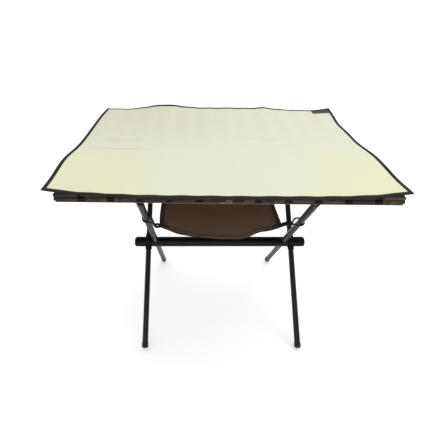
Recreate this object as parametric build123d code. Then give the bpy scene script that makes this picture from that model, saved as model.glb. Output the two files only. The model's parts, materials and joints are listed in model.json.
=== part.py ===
from build123d import *
import math
import os

# Folding camp kitchen table. Two pairs of straight poles cross at a centre beam,
# carry a slatted roll-up top on four ball tips, and hold a cloth shelf between them.
# Units are millimetres. +X runs along the beam, -Y is the front, +Z is up.
# The origin is on the floor, straight below the middle of the beam.

# Overall sizes
TOP_WIDTH = 760.0
TOP_DEPTH = 585.0
TOP_UNDERSIDE = 560.0
TOP_YAW = -1.1            # degrees: the top sits a little askew in its loose sockets
BEAM_HEIGHT = 240.0
LEG_LEAN = 40.0           # degrees from vertical
INNER_POLE_X = 204.0
OUTER_POLE_X = 228.0

# Poles, tips and feet
POLE_RADIUS = 8.5
POLE_WALL = 1.2
POLE_ROOT = 6.5           # a pole's end stops this far from the beam's axis
BALL_RADIUS = 7.0
BALL_HEIGHT = 552.0
NECK_RADIUS = 4.0
NECK_LENGTH = 13.0        # from the ball's centre to the start of the shoulder
SHOULDER_LENGTH = 6.0
PLUG_LENGTH = 22.0
FOOT_RADIUS = 9.5
FOOT_LENGTH = 15.0
FOOT_ROUNDING = 4.0
FOOT_SOLE_CUT = 0.8       # how much of the rounded end the flat sole takes away
SHOCK_CORD_RADIUS = 1.5

# Beam and pivot
BEAM_RADIUS = 15.5
BEAM_WALL = 1.5
BEAM_TUBE_HALF = 216.0
HUB_START = 217.0
HUB_END = 264.5
CAP_END = 272.0
CAP_ROUNDING = 7.0
BLOCK_START = 186.0
AXLE_RADIUS = 4.0
AXLE_HALF = 262.5
RUNNING_GAP = 0.05
COLLAR_RADIUS = 10.25
COLLAR_END = 24.0         # distance of a collar's rim from the beam's axis
NUT_POCKET_RADIUS = 9.0
NUT_POCKET_START = 256.5
NUT_RADIUS = 7.4          # across the corners, from the middle
NUT_HEIGHT = 2.5
AXLE_WASHER_RADIUS = 8.0
AXLE_WASHER_THICKNESS = 1.5
THRUST_WASHER_THICKNESS = 0.8
CAP_RING_DEPTH = 4.0      # the cap's ring that pushes into the nut pocket
CAP_RING_WALL = 0.8

# Slatted top
SLAT_COUNT = 12
SLAT_PITCH = 64.3
SLAT_WIDTH = 45.0
SLAT_THICKNESS = 6.6
POCKET_WIDTH = 48.0
POCKET_HEIGHT = 9.0
WEB_THICKNESS = 2.0
COVER_WALL = 1.2
SLEEVE_RADIUS = 6.5
SEAM_HEIGHT = 3.5         # of the strip under the rail that joins the sleeve's loops
RAIL_RADIUS = 5.4
RAIL_WALL = 1.2
FERRULE_LENGTH = 90.0
FERRULE_WALL = 1.0
PLUG_HEAD_LENGTH = 4.0    # of the push-in plugs at the rails' ends
PLUG_STEM_LENGTH = 14.0
SOCKET_RADIUS = 11.5
SOCKET_FLOOR = 3.0        # how far a socket reaches below the ball's centre
SOCKET_GAP = 0.1
FLANGE_MARGIN = 1.0       # round the boss, on the two sides away from the screws
FLANGE_THICKNESS = 5.0
FLANGE_ROUNDING = 4.0
SCREW_PLACES = (213.5, 236.5)
SCREW_INSET = 49.5        # from the top's edge to the socket screws
SCREW_RADIUS = 1.75
SCREW_HEAD_HEIGHT = 2.2
SCREW_BITE = 1.0          # how far a screw passes the middle of its slat
SCREW_MARGIN_X = 10.5     # from a screw to the flange's edge
SCREW_MARGIN_Y = 7.0
STRAP_WIDTH = 15.0        # the webbing strap at the middle of the front edge
STRAP_THICKNESS = 3.0

# Loose mat
MAT_WIDTH = 800.0
MAT_DEPTH = 600.0
MAT_THICKNESS = 1.6
BINDING_WIDTH = 10.0
BINDING_THICKNESS = 2.8
PRESSED_THICKNESS = 1.0   # of the sheet where the binding's stitches squeeze it
LABEL_WIDTH = 46.0
LABEL_DEPTH = 18.0
LABEL_THICKNESS = 0.6
LABEL_INSET_X = 26.0      # from the binding's inner edge to the label's middle
LABEL_INSET_Y = 9.5

# Cloth shelf
SHELF_HALF = 160.0
SHELF_CORNER_HEIGHT = 412.0
END_SAG = 40.0            # of the front and rear edges, at their middles
SIDE_SAG = 32.0           # of the left and right edges, at their middles
SIDE_BULGE = 12.0         # how far the slack side edges hang outwards
MIDDLE_LIFT = 20.0        # how much less the middle sags than both sags together
SHELF_SHIFT = -9.0        # the shelf hangs a little to the left
CLOTH_THICKNESS = 2.0
HEM_THICKNESS = 4.0
HEM_WIDTH = 12.0
HEM_OVERHANG = 2.0        # how far the hem reaches past the cloth's edge
HANGER_REACH = 262.0      # along a pole, from the beam's axis to the cord loop
HANGER_CORD_RADIUS = 2.0
RING_RADIUS = 6.0
RING_WIRE = 1.3
TAB_LENGTH = 14.0
TAB_WIDTH = 12.0
TAB_THICKNESS = 3.0
TAB_INSET = 4.0           # from the shelf's corner to the middle of its tab
RING_SLACK = 0.2          # between a ring and the tab folded round it
HANGER_GAP = 0.6          # between a ring and the cord that pulls at it

# Derived places
LEAN_SIN = math.sin(math.radians(LEG_LEAN))
LEAN_COS = math.cos(math.radians(LEG_LEAN))
BALL_REACH = (BALL_HEIGHT - BEAM_HEIGHT) / LEAN_COS
BALL_Y = BALL_REACH * LEAN_SIN
POLE_TOP = BALL_REACH - NECK_LENGTH - SHOULDER_LENGTH
SOLE_DROP = BEAM_HEIGHT - FOOT_ROUNDING + FOOT_SOLE_CUT - (FOOT_RADIUS - FOOT_ROUNDING) * LEAN_SIN
FOOT_REACH = FOOT_ROUNDING + SOLE_DROP / LEAN_COS
POLE_FOOT = FOOT_REACH - FOOT_ROUNDING
PANEL_BOTTOM = TOP_UNDERSIDE + 2 * SLEEVE_RADIUS
PANEL_TOP = PANEL_BOTTOM + POCKET_HEIGHT
RAIL_Y = TOP_DEPTH / 2 - SLEEVE_RADIUS
RAIL_Z = TOP_UNDERSIDE + SLEEVE_RADIUS
SLAT_LENGTH = TOP_DEPTH - 2 * COVER_WALL
SLAT_MIDDLE = PANEL_BOTTOM + POCKET_HEIGHT / 2
SCREW_Y = TOP_DEPTH / 2 - SCREW_INSET
# When the legs and the top turn together by the same angle, a rear ball leaves its
# seat forwards by the cosine and downwards by the sine of the lean, a little more
# forwards as it goes.
EXIT_ANGLE = math.radians(90 - LEG_LEAN + 1.5)
EXIT_DIRECTION = (0, -math.sin(EXIT_ANGLE), -math.cos(EXIT_ANGLE))
SIDES = (-1, 1)
SIDE_NAMES = {-1: "left", 1: "right"}
# An inner pole rises towards the front and an outer pole towards the rear.
INNER_LEAN = -LEG_LEAN
OUTER_LEAN = LEG_LEAN

os.makedirs("parts", exist_ok=True)


def save(name, shape):
    export_step(shape, f"parts/{name}.step")


def group(shapes):
    return Compound(children=list(shapes))


def disc(radius, start, end):
    """A cylinder on the local Z axis between two heights."""
    middle = (start + end) / 2
    return Pos(0, 0, middle) * Cylinder(radius, abs(end - start))


def tube(radius, wall, start, end):
    return disc(radius, start, end) - disc(radius - wall, start, end)


def along_beam(shape):
    """Turn a shape's local Z axis onto the beam's axis."""
    return Pos(0, 0, BEAM_HEIGHT) * Rot(0, 90, 0) * shape


def on_pole(x, lean, shape):
    """Place a shape whose local Z is the distance up a pole from the beam's axis."""
    angle = math.radians(lean)
    frame = Plane(origin=(x, 0, BEAM_HEIGHT), x_dir=(1, 0, 0), z_dir=(0, math.sin(angle), math.cos(angle)))
    return frame * shape


def askew(shape):
    """Turn a piece of the top with the top's small yaw."""
    return Rot(0, 0, TOP_YAW) * shape


# Poles and what is on them


def upper_pole(x, lean):
    return on_pole(x, lean, tube(POLE_RADIUS, POLE_WALL, POLE_ROOT, POLE_TOP))


def lower_pole(x, lean):
    return on_pole(x, lean, tube(POLE_RADIUS, POLE_WALL, -POLE_FOOT, -POLE_ROOT))


def ball_tip(x, lean):
    """Ball, thin neck, shoulder the width of the pole, and a plug inside the pole."""
    ball = Pos(0, 0, BALL_REACH) * Sphere(BALL_RADIUS)
    neck = disc(NECK_RADIUS, BALL_REACH - NECK_LENGTH, BALL_REACH)
    shoulder_middle = POLE_TOP + SHOULDER_LENGTH / 2
    shoulder = Pos(0, 0, shoulder_middle) * Cone(POLE_RADIUS, NECK_RADIUS, SHOULDER_LENGTH)
    plug = disc(POLE_RADIUS - POLE_WALL - RUNNING_GAP, POLE_TOP - PLUG_LENGTH, POLE_TOP)
    return on_pole(x, lean, ball + neck + shoulder + plug)


def foot(x, lean):
    """Rubber cap with a rounded end, cut to a small flat sole on the floor."""
    cap = disc(FOOT_RADIUS, -FOOT_REACH, -FOOT_REACH + FOOT_LENGTH)
    end_edge = cap.edges().sort_by(Axis.Z)[0]
    cap = fillet(end_edge, FOOT_ROUNDING)
    rim_edges = cap.edges().group_by(Axis.Z)[-1]
    cap = fillet(rim_edges, (FOOT_RADIUS - POLE_RADIUS) / 2)
    cap -= disc(POLE_RADIUS, -POLE_FOOT, -FOOT_REACH + 2 * FOOT_LENGTH)
    below_floor = Pos(x, 0, -TOP_DEPTH / 2) * Box(4 * FOOT_RADIUS, 2 * TOP_DEPTH, TOP_DEPTH)
    return on_pole(x, lean, cap) - below_floor


def shock_cords(x, lean):
    """One elastic cord inside each half of a pole, from its root to its far plug."""
    upper = disc(SHOCK_CORD_RADIUS, POLE_ROOT, POLE_TOP - PLUG_LENGTH)
    lower = disc(SHOCK_CORD_RADIUS, -POLE_FOOT, -POLE_ROOT)
    return [on_pole(x, lean, upper), on_pole(x, lean, lower)]


def pole_sockets(x, lean):
    """The space that a pole's two halves take up in the beam."""
    bore = POLE_RADIUS + RUNNING_GAP
    spaces = disc(bore, POLE_ROOT, 2 * COLLAR_END) + disc(bore, -2 * COLLAR_END, -POLE_ROOT)
    return on_pole(x, lean, spaces)


def make_poles():
    for side, side_name in SIDE_NAMES.items():
        inner_x = side * INNER_POLE_X
        outer_x = side * OUTER_POLE_X
        save(f"inner_pole_upper_{side_name}", upper_pole(inner_x, INNER_LEAN))
        save(f"inner_pole_lower_{side_name}", lower_pole(inner_x, INNER_LEAN))
        save(f"outer_pole_upper_{side_name}", upper_pole(outer_x, OUTER_LEAN))
        save(f"outer_pole_lower_{side_name}", lower_pole(outer_x, OUTER_LEAN))
        save(f"rear_foot_{side_name}", foot(inner_x, INNER_LEAN))
        save(f"front_foot_{side_name}", foot(outer_x, OUTER_LEAN))
    save("front_tips", group(ball_tip(side * INNER_POLE_X, INNER_LEAN) for side in SIDES))
    save("rear_tips", group(ball_tip(side * OUTER_POLE_X, OUTER_LEAN) for side in SIDES))
    inner_cords = [cord for side in SIDES for cord in shock_cords(side * INNER_POLE_X, INNER_LEAN)]
    outer_cords = [cord for side in SIDES for cord in shock_cords(side * OUTER_POLE_X, OUTER_LEAN)]
    save("inner_shock_cords", group(inner_cords))
    save("outer_shock_cords", group(outer_cords))


# Beam, hubs and axle


def beam_tube():
    shell = along_beam(tube(BEAM_RADIUS, BEAM_WALL, -BEAM_TUBE_HALF, BEAM_TUBE_HALF))
    for side in SIDES:
        shell -= pole_sockets(side * INNER_POLE_X, INNER_LEAN)
    return shell


def pole_block(side):
    """Nylon block inside the beam's end that holds an inner pole and turns on the axle."""
    block_radius = BEAM_RADIUS - BEAM_WALL - RUNNING_GAP
    block = disc(block_radius, side * BLOCK_START, side * BEAM_TUBE_HALF)
    block -= disc(AXLE_RADIUS + RUNNING_GAP, side * BLOCK_START, side * BEAM_TUBE_HALF)
    return along_beam(block) - pole_sockets(side * INNER_POLE_X, INNER_LEAN)


def pole_collars(x, lean):
    """The two collars around a pole where it leaves the beam."""
    upper = disc(COLLAR_RADIUS, POLE_ROOT, COLLAR_END)
    lower = disc(COLLAR_RADIUS, -COLLAR_END, -POLE_ROOT)
    return [on_pole(x, lean, collar) for collar in (upper, lower)]


def inner_collars():
    beam = along_beam(disc(BEAM_RADIUS, -BEAM_TUBE_HALF, BEAM_TUBE_HALF))
    rings = []
    for side in SIDES:
        x = side * INNER_POLE_X
        for collar in pole_collars(x, INNER_LEAN):
            rings.append(collar - beam - pole_sockets(x, INNER_LEAN))
    return group(rings)


def thrust_washer(side):
    start = side * BEAM_TUBE_HALF
    end = start + side * THRUST_WASHER_THICKNESS
    washer = disc(BEAM_RADIUS - BEAM_WALL / 2, start, end)
    return along_beam(washer - disc(AXLE_RADIUS + RUNNING_GAP, start, end))


def hub(side):
    """Outer end of the beam: turns with an outer pole and is fixed on the axle."""
    x = side * OUTER_POLE_X
    body = along_beam(disc(BEAM_RADIUS, side * HUB_START, side * HUB_END))
    for collar in pole_collars(x, OUTER_LEAN):
        body += collar
    body -= pole_sockets(x, OUTER_LEAN)
    body -= along_beam(disc(AXLE_RADIUS, side * HUB_START, side * HUB_END))
    body -= along_beam(disc(NUT_POCKET_RADIUS, side * NUT_POCKET_START, side * HUB_END))
    return body


def end_cap(side):
    """Rounded cap with a ring that pushes into the hub's nut pocket."""
    cap = disc(BEAM_RADIUS, HUB_END, CAP_END)
    outer_edge = cap.edges().group_by(Axis.Z)[-1]
    cap = fillet(outer_edge, CAP_ROUNDING)
    cap += tube(NUT_POCKET_RADIUS - RUNNING_GAP, CAP_RING_WALL, HUB_END - CAP_RING_DEPTH, HUB_END)
    turn = 0 if side > 0 else 180
    return along_beam(Rot(turn, 0, 0) * cap)


def axle_washer(side):
    start = side * NUT_POCKET_START
    end = start + side * AXLE_WASHER_THICKNESS
    return along_beam(disc(AXLE_WASHER_RADIUS, start, end) - disc(AXLE_RADIUS, start, end))


def axle_nut(side):
    start = NUT_POCKET_START + AXLE_WASHER_THICKNESS
    nut = Pos(0, 0, start) * extrude(RegularPolygon(NUT_RADIUS, 6), NUT_HEIGHT)
    nut -= disc(AXLE_RADIUS, start, HUB_END)
    turn = 0 if side > 0 else 180
    return along_beam(Rot(turn, 0, 0) * nut)


def make_beam():
    save("beam_tube", beam_tube())
    save("pole_blocks", group(pole_block(side) for side in SIDES))
    save("inner_collars", inner_collars())
    save("thrust_washers", group(thrust_washer(side) for side in SIDES))
    for side, side_name in SIDE_NAMES.items():
        save(f"hub_{side_name}", hub(side))
    save("end_caps", group(end_cap(side) for side in SIDES))
    save("axle_rod", along_beam(disc(AXLE_RADIUS, -AXLE_HALF, AXLE_HALF)))
    save("axle_washers", group(axle_washer(side) for side in SIDES))
    save("axle_nuts", group(axle_nut(side) for side in SIDES))


# Slatted top


def slat_x(index):
    """Middle of a slat. The last one's pocket ends at the top's right edge."""
    last_x = (TOP_WIDTH - POCKET_WIDTH) / 2
    return last_x - (SLAT_COUNT - 1 - index) * SLAT_PITCH


def pocket_ends(index):
    """Where a slat's pocket starts and ends in X. The first one is a little wider than the rest."""
    start = slat_x(index) - POCKET_WIDTH / 2 if index > 0 else -TOP_WIDTH / 2
    return start, slat_x(index) + POCKET_WIDTH / 2


def socket_corners():
    """Each socket's pole place in X and its side in Y: inner at the front, outer at the rear."""
    corners = []
    for side in SIDES:
        corners.append((side * INNER_POLE_X, side, -1))
        corners.append((side * OUTER_POLE_X, side, 1))
    return corners


def screw_holes():
    """Drilled holes for the socket screws, up through the cover into the slats."""
    bore = disc(SCREW_RADIUS, TOP_UNDERSIDE - SLEEVE_RADIUS, SLAT_MIDDLE + SCREW_BITE)
    return [
        Pos(side * place, end * SCREW_Y, 0) * bore
        for side in SIDES
        for end in (-1, 1)
        for place in SCREW_PLACES
    ]


def slat(index):
    board = Pos(slat_x(index), 0, SLAT_MIDDLE) * Box(SLAT_WIDTH, SLAT_LENGTH, SLAT_THICKNESS)
    board = fillet(board.edges().filter_by(Axis.Y), SLAT_THICKNESS / 3)
    board = askew(board)
    for hole in screw_holes():
        if abs(hole.center().X - slat_x(index)) < POCKET_WIDTH / 2:
            board -= hole
    return board


def panel_cover():
    """Fabric cover: a closed pocket round every slat, joined by thin webs that fold."""
    web_width = TOP_WIDTH - POCKET_WIDTH
    web_middle = PANEL_BOTTOM + WEB_THICKNESS / 2
    cover = Pos(0, 0, web_middle) * Box(web_width, TOP_DEPTH, WEB_THICKNESS)
    for index in range(SLAT_COUNT):
        start, end = pocket_ends(index)
        pocket = Pos((start + end) / 2, 0, SLAT_MIDDLE) * Box(end - start, TOP_DEPTH, POCKET_HEIGHT)
        cover += pocket
    for index in range(SLAT_COUNT):
        hollow = Pos(slat_x(index), 0, SLAT_MIDDLE) * Box(SLAT_WIDTH, SLAT_LENGTH, SLAT_THICKNESS)
        cover -= hollow
    cover = askew(cover)
    for hole in screw_holes():
        cover -= hole
    return cover


def rail_sleeve(end):
    """Edge sleeve: a loop round the rail under every pocket, joined along their bottoms."""
    wall = SLEEVE_RADIUS - RAIL_RADIUS - RUNNING_GAP
    band = Circle(SLEEVE_RADIUS) - Circle(SLEEVE_RADIUS - wall)
    low_part = Pos(0, SEAM_HEIGHT - 2 * SLEEVE_RADIUS) * Rectangle(2 * SLEEVE_RADIUS, 2 * SLEEVE_RADIUS)
    seam = band & low_part
    pieces = []
    for index in range(SLAT_COUNT):
        loop_start, loop_end = pocket_ends(index)
        pieces.append(Pos(0, 0, loop_start) * extrude(band, loop_end - loop_start))
        if index < SLAT_COUNT - 1:
            pieces.append(Pos(0, 0, loop_end) * extrude(seam, SLAT_PITCH - POCKET_WIDTH))
    upright = Plane(origin=(0, end * RAIL_Y, RAIL_Z), x_dir=(0, 1, 0), z_dir=(1, 0, 0))
    return group(askew(upright * piece) for piece in pieces)


def rail(end):
    """Edge rail in two tubes that meet in the middle on a ferrule."""
    half = TOP_WIDTH / 2 - PLUG_HEAD_LENGTH
    halves = [tube(RAIL_RADIUS, RAIL_WALL, 0, half), tube(RAIL_RADIUS, RAIL_WALL, -half, 0)]
    return group(askew(Pos(0, end * RAIL_Y, RAIL_Z) * Rot(0, 90, 0) * piece) for piece in halves)


def rail_ferrule(end):
    radius = RAIL_RADIUS - RAIL_WALL - RUNNING_GAP
    ferrule = tube(radius, FERRULE_WALL, -FERRULE_LENGTH / 2, FERRULE_LENGTH / 2)
    return askew(Pos(0, end * RAIL_Y, RAIL_Z) * Rot(0, 90, 0) * ferrule)


def rail_plugs(end):
    """A push-in plug at each end of a rail, with a head flush with the sleeve's end."""
    head_end = TOP_WIDTH / 2
    stem_end = head_end - PLUG_HEAD_LENGTH
    head = disc(RAIL_RADIUS, stem_end, head_end)
    stem = disc(RAIL_RADIUS - RAIL_WALL - RUNNING_GAP, stem_end - PLUG_STEM_LENGTH, stem_end)
    plug = head + stem
    pair = [plug, Rot(180, 0, 0) * plug]
    return [askew(Pos(0, end * RAIL_Y, RAIL_Z) * Rot(0, 90, 0) * piece) for piece in pair]


def socket_base(side, end):
    """Round boss under a flange that is screwed up into a slat."""
    flange_start = INNER_POLE_X - SOCKET_RADIUS - FLANGE_MARGIN
    flange_end = SCREW_PLACES[-1] + SCREW_MARGIN_X
    flange_width = flange_end - flange_start
    flange_x = side * (flange_start + flange_end) / 2
    flange_front = BALL_Y + SOCKET_RADIUS + FLANGE_MARGIN
    flange_back = SCREW_Y - SCREW_MARGIN_Y
    flange_y = end * (flange_front + flange_back) / 2
    flange = Box(flange_width, flange_front - flange_back, FLANGE_THICKNESS)
    flange = fillet(flange.edges().filter_by(Axis.Z), FLANGE_ROUNDING)
    return Pos(flange_x, flange_y, PANEL_BOTTOM - FLANGE_THICKNESS / 2) * flange


def socket(x, side, end):
    """Tip socket. At the front, lips keep the ball in and a slot lets its neck swing.
    At the rear the seat is open forwards and down, so the ball lifts out."""
    centre = Pos(x, end * BALL_Y, BALL_HEIGHT)
    boss = centre * disc(SOCKET_RADIUS, -SOCKET_FLOOR, PANEL_BOTTOM - BALL_HEIGHT)
    body = boss + socket_base(side, end)
    seat = Sphere(BALL_RADIUS + SOCKET_GAP)
    if end < 0:
        slot_width = 2 * (NECK_RADIUS + 4 * SOCKET_GAP)
        slot = Pos(0, 0, -SOCKET_FLOOR) * Box(slot_width, 4 * SOCKET_RADIUS, 2 * SOCKET_FLOOR)
        body -= centre * (seat + slot)
    else:
        way_out = Plane(origin=(0, 0, 0), x_dir=(1, 0, 0), z_dir=EXIT_DIRECTION)
        channel = way_out * disc(BALL_RADIUS + 6 * SOCKET_GAP, 0, 3 * SOCKET_RADIUS)
        body -= centre * (seat + channel)
    for hole in screw_holes():
        body -= hole
    return body


def socket_screws():
    flange_bottom = PANEL_BOTTOM - FLANGE_THICKNESS
    head = disc(2 * SCREW_RADIUS, flange_bottom - SCREW_HEAD_HEIGHT, flange_bottom)
    shank = disc(SCREW_RADIUS, flange_bottom, SLAT_MIDDLE + SCREW_BITE)
    screw = head + shank
    return group(
        Pos(side * place, end * SCREW_Y, 0) * screw
        for side in SIDES
        for end in (-1, 1)
        for place in SCREW_PLACES
    )


def roll_strap():
    """Webbing strap between the middle pockets at the front edge, that ties the rolled top."""
    strap_x = slat_x(SLAT_COUNT // 2) - SLAT_PITCH / 2
    strap_height = POCKET_HEIGHT - WEB_THICKNESS
    strap = Box(STRAP_WIDTH, STRAP_THICKNESS, strap_height)
    strap_y = (STRAP_THICKNESS - TOP_DEPTH) / 2
    return askew(Pos(strap_x, strap_y, PANEL_TOP - strap_height / 2) * strap)


def make_top():
    for index in range(SLAT_COUNT):
        save(f"slat_{index + 1:02d}", slat(index))
    save("panel_cover", panel_cover())
    for end, end_name in ((-1, "front"), (1, "rear")):
        save(f"rail_sleeve_{end_name}", rail_sleeve(end))
        save(f"{end_name}_rail", rail(end))
        sockets = [socket(x, side, y) for x, side, y in socket_corners() if y == end]
        save(f"{end_name}_sockets", group(sockets))
    save("rail_ferrules", group(rail_ferrule(end) for end in (-1, 1)))
    save("rail_plugs", group(plug for end in (-1, 1) for plug in rail_plugs(end)))
    save("socket_screws", socket_screws())
    save("roll_strap", roll_strap())


# Loose mat


def mat_field():
    """The sheet inside its binding, at its full thickness."""
    return Box(MAT_WIDTH - 2 * BINDING_WIDTH, MAT_DEPTH - 2 * BINDING_WIDTH, MAT_THICKNESS)


def make_mat():
    """A thin sheet with a bound edge and a blank label at its rear right corner.
    The stitches press the sheet flat in the binding, and sink the label into it."""
    inset = BINDING_WIDTH / 2
    middle = Pos(0, 0, PANEL_TOP + BINDING_THICKNESS / 2)
    label_x = MAT_WIDTH / 2 - BINDING_WIDTH - LABEL_INSET_X
    label_y = MAT_DEPTH / 2 - BINDING_WIDTH - LABEL_INSET_Y
    label_z = (MAT_THICKNESS - LABEL_THICKNESS) / 2
    label = Pos(label_x, label_y, label_z) * Box(LABEL_WIDTH, LABEL_DEPTH, LABEL_THICKNESS)
    pressed = Box(MAT_WIDTH - inset, MAT_DEPTH - inset, PRESSED_THICKNESS)
    sheet = mat_field() + pressed - label
    border = Box(MAT_WIDTH, MAT_DEPTH, BINDING_THICKNESS)
    border -= Box(MAT_WIDTH - 2 * BINDING_WIDTH, MAT_DEPTH - 2 * BINDING_WIDTH, 2 * BINDING_THICKNESS)
    border -= pressed
    save("mat_sheet", askew(middle * sheet))
    save("mat_binding", askew(middle * border))
    save("mat_label", askew(middle * label))


# Cloth shelf


def hung_sheet(half, low, high):
    """A slack sheet hung by its four corners, between two heights above its middle surface.
    Each edge and each section through it is a parabola, so the surface is one
    Bezier patch of degree two, with its middle control points twice as far out."""
    places = (-1, 0, 1)
    slack = (0, 2, 0)
    rows = []
    for i in range(3):
        row = []
        for j in range(3):
            x = SHELF_SHIFT + places[i] * (half + SIDE_BULGE * slack[j])
            drop = END_SAG * slack[i] + SIDE_SAG * slack[j] - MIDDLE_LIFT * slack[i] * slack[j]
            row.append(Vector(x, places[j] * half, SHELF_CORNER_HEIGHT - drop + low))
        rows.append(row)
    return extrude(Face.make_bezier_surface(rows), high - low, dir=(0, 0, 1))


def shelf_cloth():
    return hung_sheet(SHELF_HALF, -CLOTH_THICKNESS / 2, CLOTH_THICKNESS / 2)


def shelf_hem():
    """A folded tape round all four edges, with the cloth's edge inside it."""
    reach = SHELF_HALF + HEM_OVERHANG
    opening = 2 * (reach - HEM_WIDTH)
    window = Pos(SHELF_SHIFT, 0, SHELF_CORNER_HEIGHT) * Box(opening, opening, 4 * END_SAG)
    band = hung_sheet(reach, -HEM_THICKNESS / 2, HEM_THICKNESS / 2) - window
    return band - shelf_cloth()


def ring_centre(side, end):
    reach = SHELF_HALF + TAB_LENGTH + RING_RADIUS - 2 * RING_WIRE
    return Vector(SHELF_SHIFT + side * reach, end * (SHELF_HALF - TAB_INSET), SHELF_CORNER_HEIGHT)


def corner_tab(side, end, hem):
    """Webbing tab sewn to a corner of the hem, with its fold round the ring."""
    tab_x = SHELF_SHIFT + side * (SHELF_HALF + HEM_OVERHANG + TAB_LENGTH / 2)
    tab_y = end * (SHELF_HALF - TAB_INSET)
    tab = Pos(tab_x, tab_y, SHELF_CORNER_HEIGHT) * Box(TAB_LENGTH, TAB_WIDTH, TAB_THICKNESS)
    return tab - corner_ring(side, end, RING_SLACK) - hem


def corner_ring(side, end, extra=0.0):
    ring = Rot(90, 0, 0) * Torus(RING_RADIUS, RING_WIRE + extra)
    return Pos(*ring_centre(side, end)) * ring


def hanger(side, end):
    """Elastic cord from a corner ring to a loop round the pole beside it."""
    x = side * (INNER_POLE_X if end < 0 else OUTER_POLE_X)
    lean = INNER_LEAN if end < 0 else OUTER_LEAN
    loop_radius = POLE_RADIUS + HANGER_CORD_RADIUS + RUNNING_GAP
    loop = on_pole(x, lean, Pos(0, 0, HANGER_REACH) * Torus(loop_radius, HANGER_CORD_RADIUS))
    grip = on_pole(x, lean, Pos(-side * loop_radius, 0, HANGER_REACH) * Sphere(HANGER_CORD_RADIUS)).center()
    ring = ring_centre(side, end)
    pull = (grip - ring).normalized()
    start = ring + pull * (RING_RADIUS + RING_WIRE + HANGER_GAP)
    run = Plane(origin=start, z_dir=pull) * disc(HANGER_CORD_RADIUS, 0, (grip - start).length)
    return loop + run


def make_shelf():
    corners = [(side, end) for side in SIDES for end in (-1, 1)]
    hem = shelf_hem()
    save("shelf_cloth", shelf_cloth())
    save("shelf_hem", hem)
    save("shelf_tabs", group(corner_tab(side, end, hem) for side, end in corners))
    save("shelf_rings", group(corner_ring(side, end) for side, end in corners))
    save("front_hangers", group(hanger(side, -1) for side in SIDES))
    save("rear_hangers", group(hanger(side, 1) for side in SIDES))


make_beam()
make_poles()
make_top()
make_mat()
make_shelf()
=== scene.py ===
import json
import math

import bpy
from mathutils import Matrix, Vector


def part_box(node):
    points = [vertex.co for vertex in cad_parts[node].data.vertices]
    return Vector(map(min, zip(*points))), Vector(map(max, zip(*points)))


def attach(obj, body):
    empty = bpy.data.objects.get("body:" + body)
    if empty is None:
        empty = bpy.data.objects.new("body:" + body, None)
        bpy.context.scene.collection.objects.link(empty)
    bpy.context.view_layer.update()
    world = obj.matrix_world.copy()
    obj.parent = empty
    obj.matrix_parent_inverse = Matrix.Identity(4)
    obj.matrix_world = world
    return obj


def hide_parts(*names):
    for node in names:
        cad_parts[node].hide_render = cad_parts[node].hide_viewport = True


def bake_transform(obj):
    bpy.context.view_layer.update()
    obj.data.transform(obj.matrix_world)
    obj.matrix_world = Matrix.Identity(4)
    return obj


# The looks of a folding camp kitchen table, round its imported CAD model. Metres, +Z up, -Y the front.

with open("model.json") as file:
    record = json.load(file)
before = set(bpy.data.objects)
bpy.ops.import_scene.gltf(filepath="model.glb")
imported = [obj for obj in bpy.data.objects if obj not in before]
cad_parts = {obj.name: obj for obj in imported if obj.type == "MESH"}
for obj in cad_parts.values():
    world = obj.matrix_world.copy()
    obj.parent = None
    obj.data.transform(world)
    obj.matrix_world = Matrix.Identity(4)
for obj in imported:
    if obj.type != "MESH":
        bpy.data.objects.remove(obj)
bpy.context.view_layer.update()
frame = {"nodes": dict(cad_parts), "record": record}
nodes = frame["nodes"]

# Driving sizes, the same as the CAD model's
TOP_YAW = math.radians(-1.1)
TOP_WIDTH = 0.760
TOP_DEPTH = 0.585
SLAT_COUNT = 12
SLAT_PITCH = 0.0643
POCKET_WIDTH = 0.048
WEB_THICKNESS = 0.002
MAT_WIDTH = 0.800
MAT_DEPTH = 0.600
MAT_THICKNESS = 0.0016
SHELF_HALF = 0.160
LEG_LEAN = math.radians(40)
POLE_RADIUS = 0.0085

# The signs that stand for the table's sides and ends
SIDES = {-1: "left", 1: "right"}
ENDS = {-1: "front", 1: "rear"}

# Places read from the frame
PANEL_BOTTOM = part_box("panel_cover")[0].z
PANEL_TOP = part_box("panel_cover")[1].z
SLEEVE_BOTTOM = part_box("rail_sleeve_front")[0].z
SLEEVE_RADIUS = (PANEL_BOTTOM - SLEEVE_BOTTOM) / 2
MAT_MIDDLE = sum(corner.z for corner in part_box("mat_sheet")) / 2
BEAM_HEIGHT = sum(corner.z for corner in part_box("beam_tube")) / 2
SHELF_SHIFT = sum(corner.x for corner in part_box("shelf_cloth")) / 2
SHELF_CORNER = sum(corner.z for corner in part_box("shelf_rings")) / 2

# How the loose mat was laid
MAT_SHIFT = Vector((-0.005, 0.012, 0.0))    # off the top's centre
# Waves and tucks along the mat's edges, each as (middle, height, width)
REAR_WAVES = ((-0.190, 0.017, 0.090), (0.040, 0.009, 0.200), (0.165, 0.005, 0.035), (0.400, 0.0085, 0.032))
LEFT_WAVES = ((-0.165, 0.013, 0.085), (0.200, 0.007, 0.140))
RIGHT_WAVES = ((-0.110, 0.007, 0.090),)
RIGHT_TUCKS = ((0.150, 0.009, 0.070), (-0.010, 0.0095, 0.100))
# How far in from an edge its waves or its pull reach
REAR_FADE = 0.060
LEFT_FADE = 0.055
RIGHT_FADE = 0.050
FRONT_FADE = 0.055
CORNER_FADE = 0.045
FRONT_CORNER_LIFT = 0.0035
FRONT_REACH = 0.020     # how far the middle of the front edge is pulled forward
DROOP_SLOPE = 0.15      # how steeply the mat's front hangs past the top's edge
SHOW_THROUGH = 0.0005   # of the slats through the mat
# Creases, each as (x, y, half length)
CREASES = ((-0.275, 0.000, 0.080), (-0.275, -0.063, 0.080), (0.133, 0.015, 0.035))
CREASE_HEIGHT = 0.0014
CREASE_WIDTH = 0.005
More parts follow.
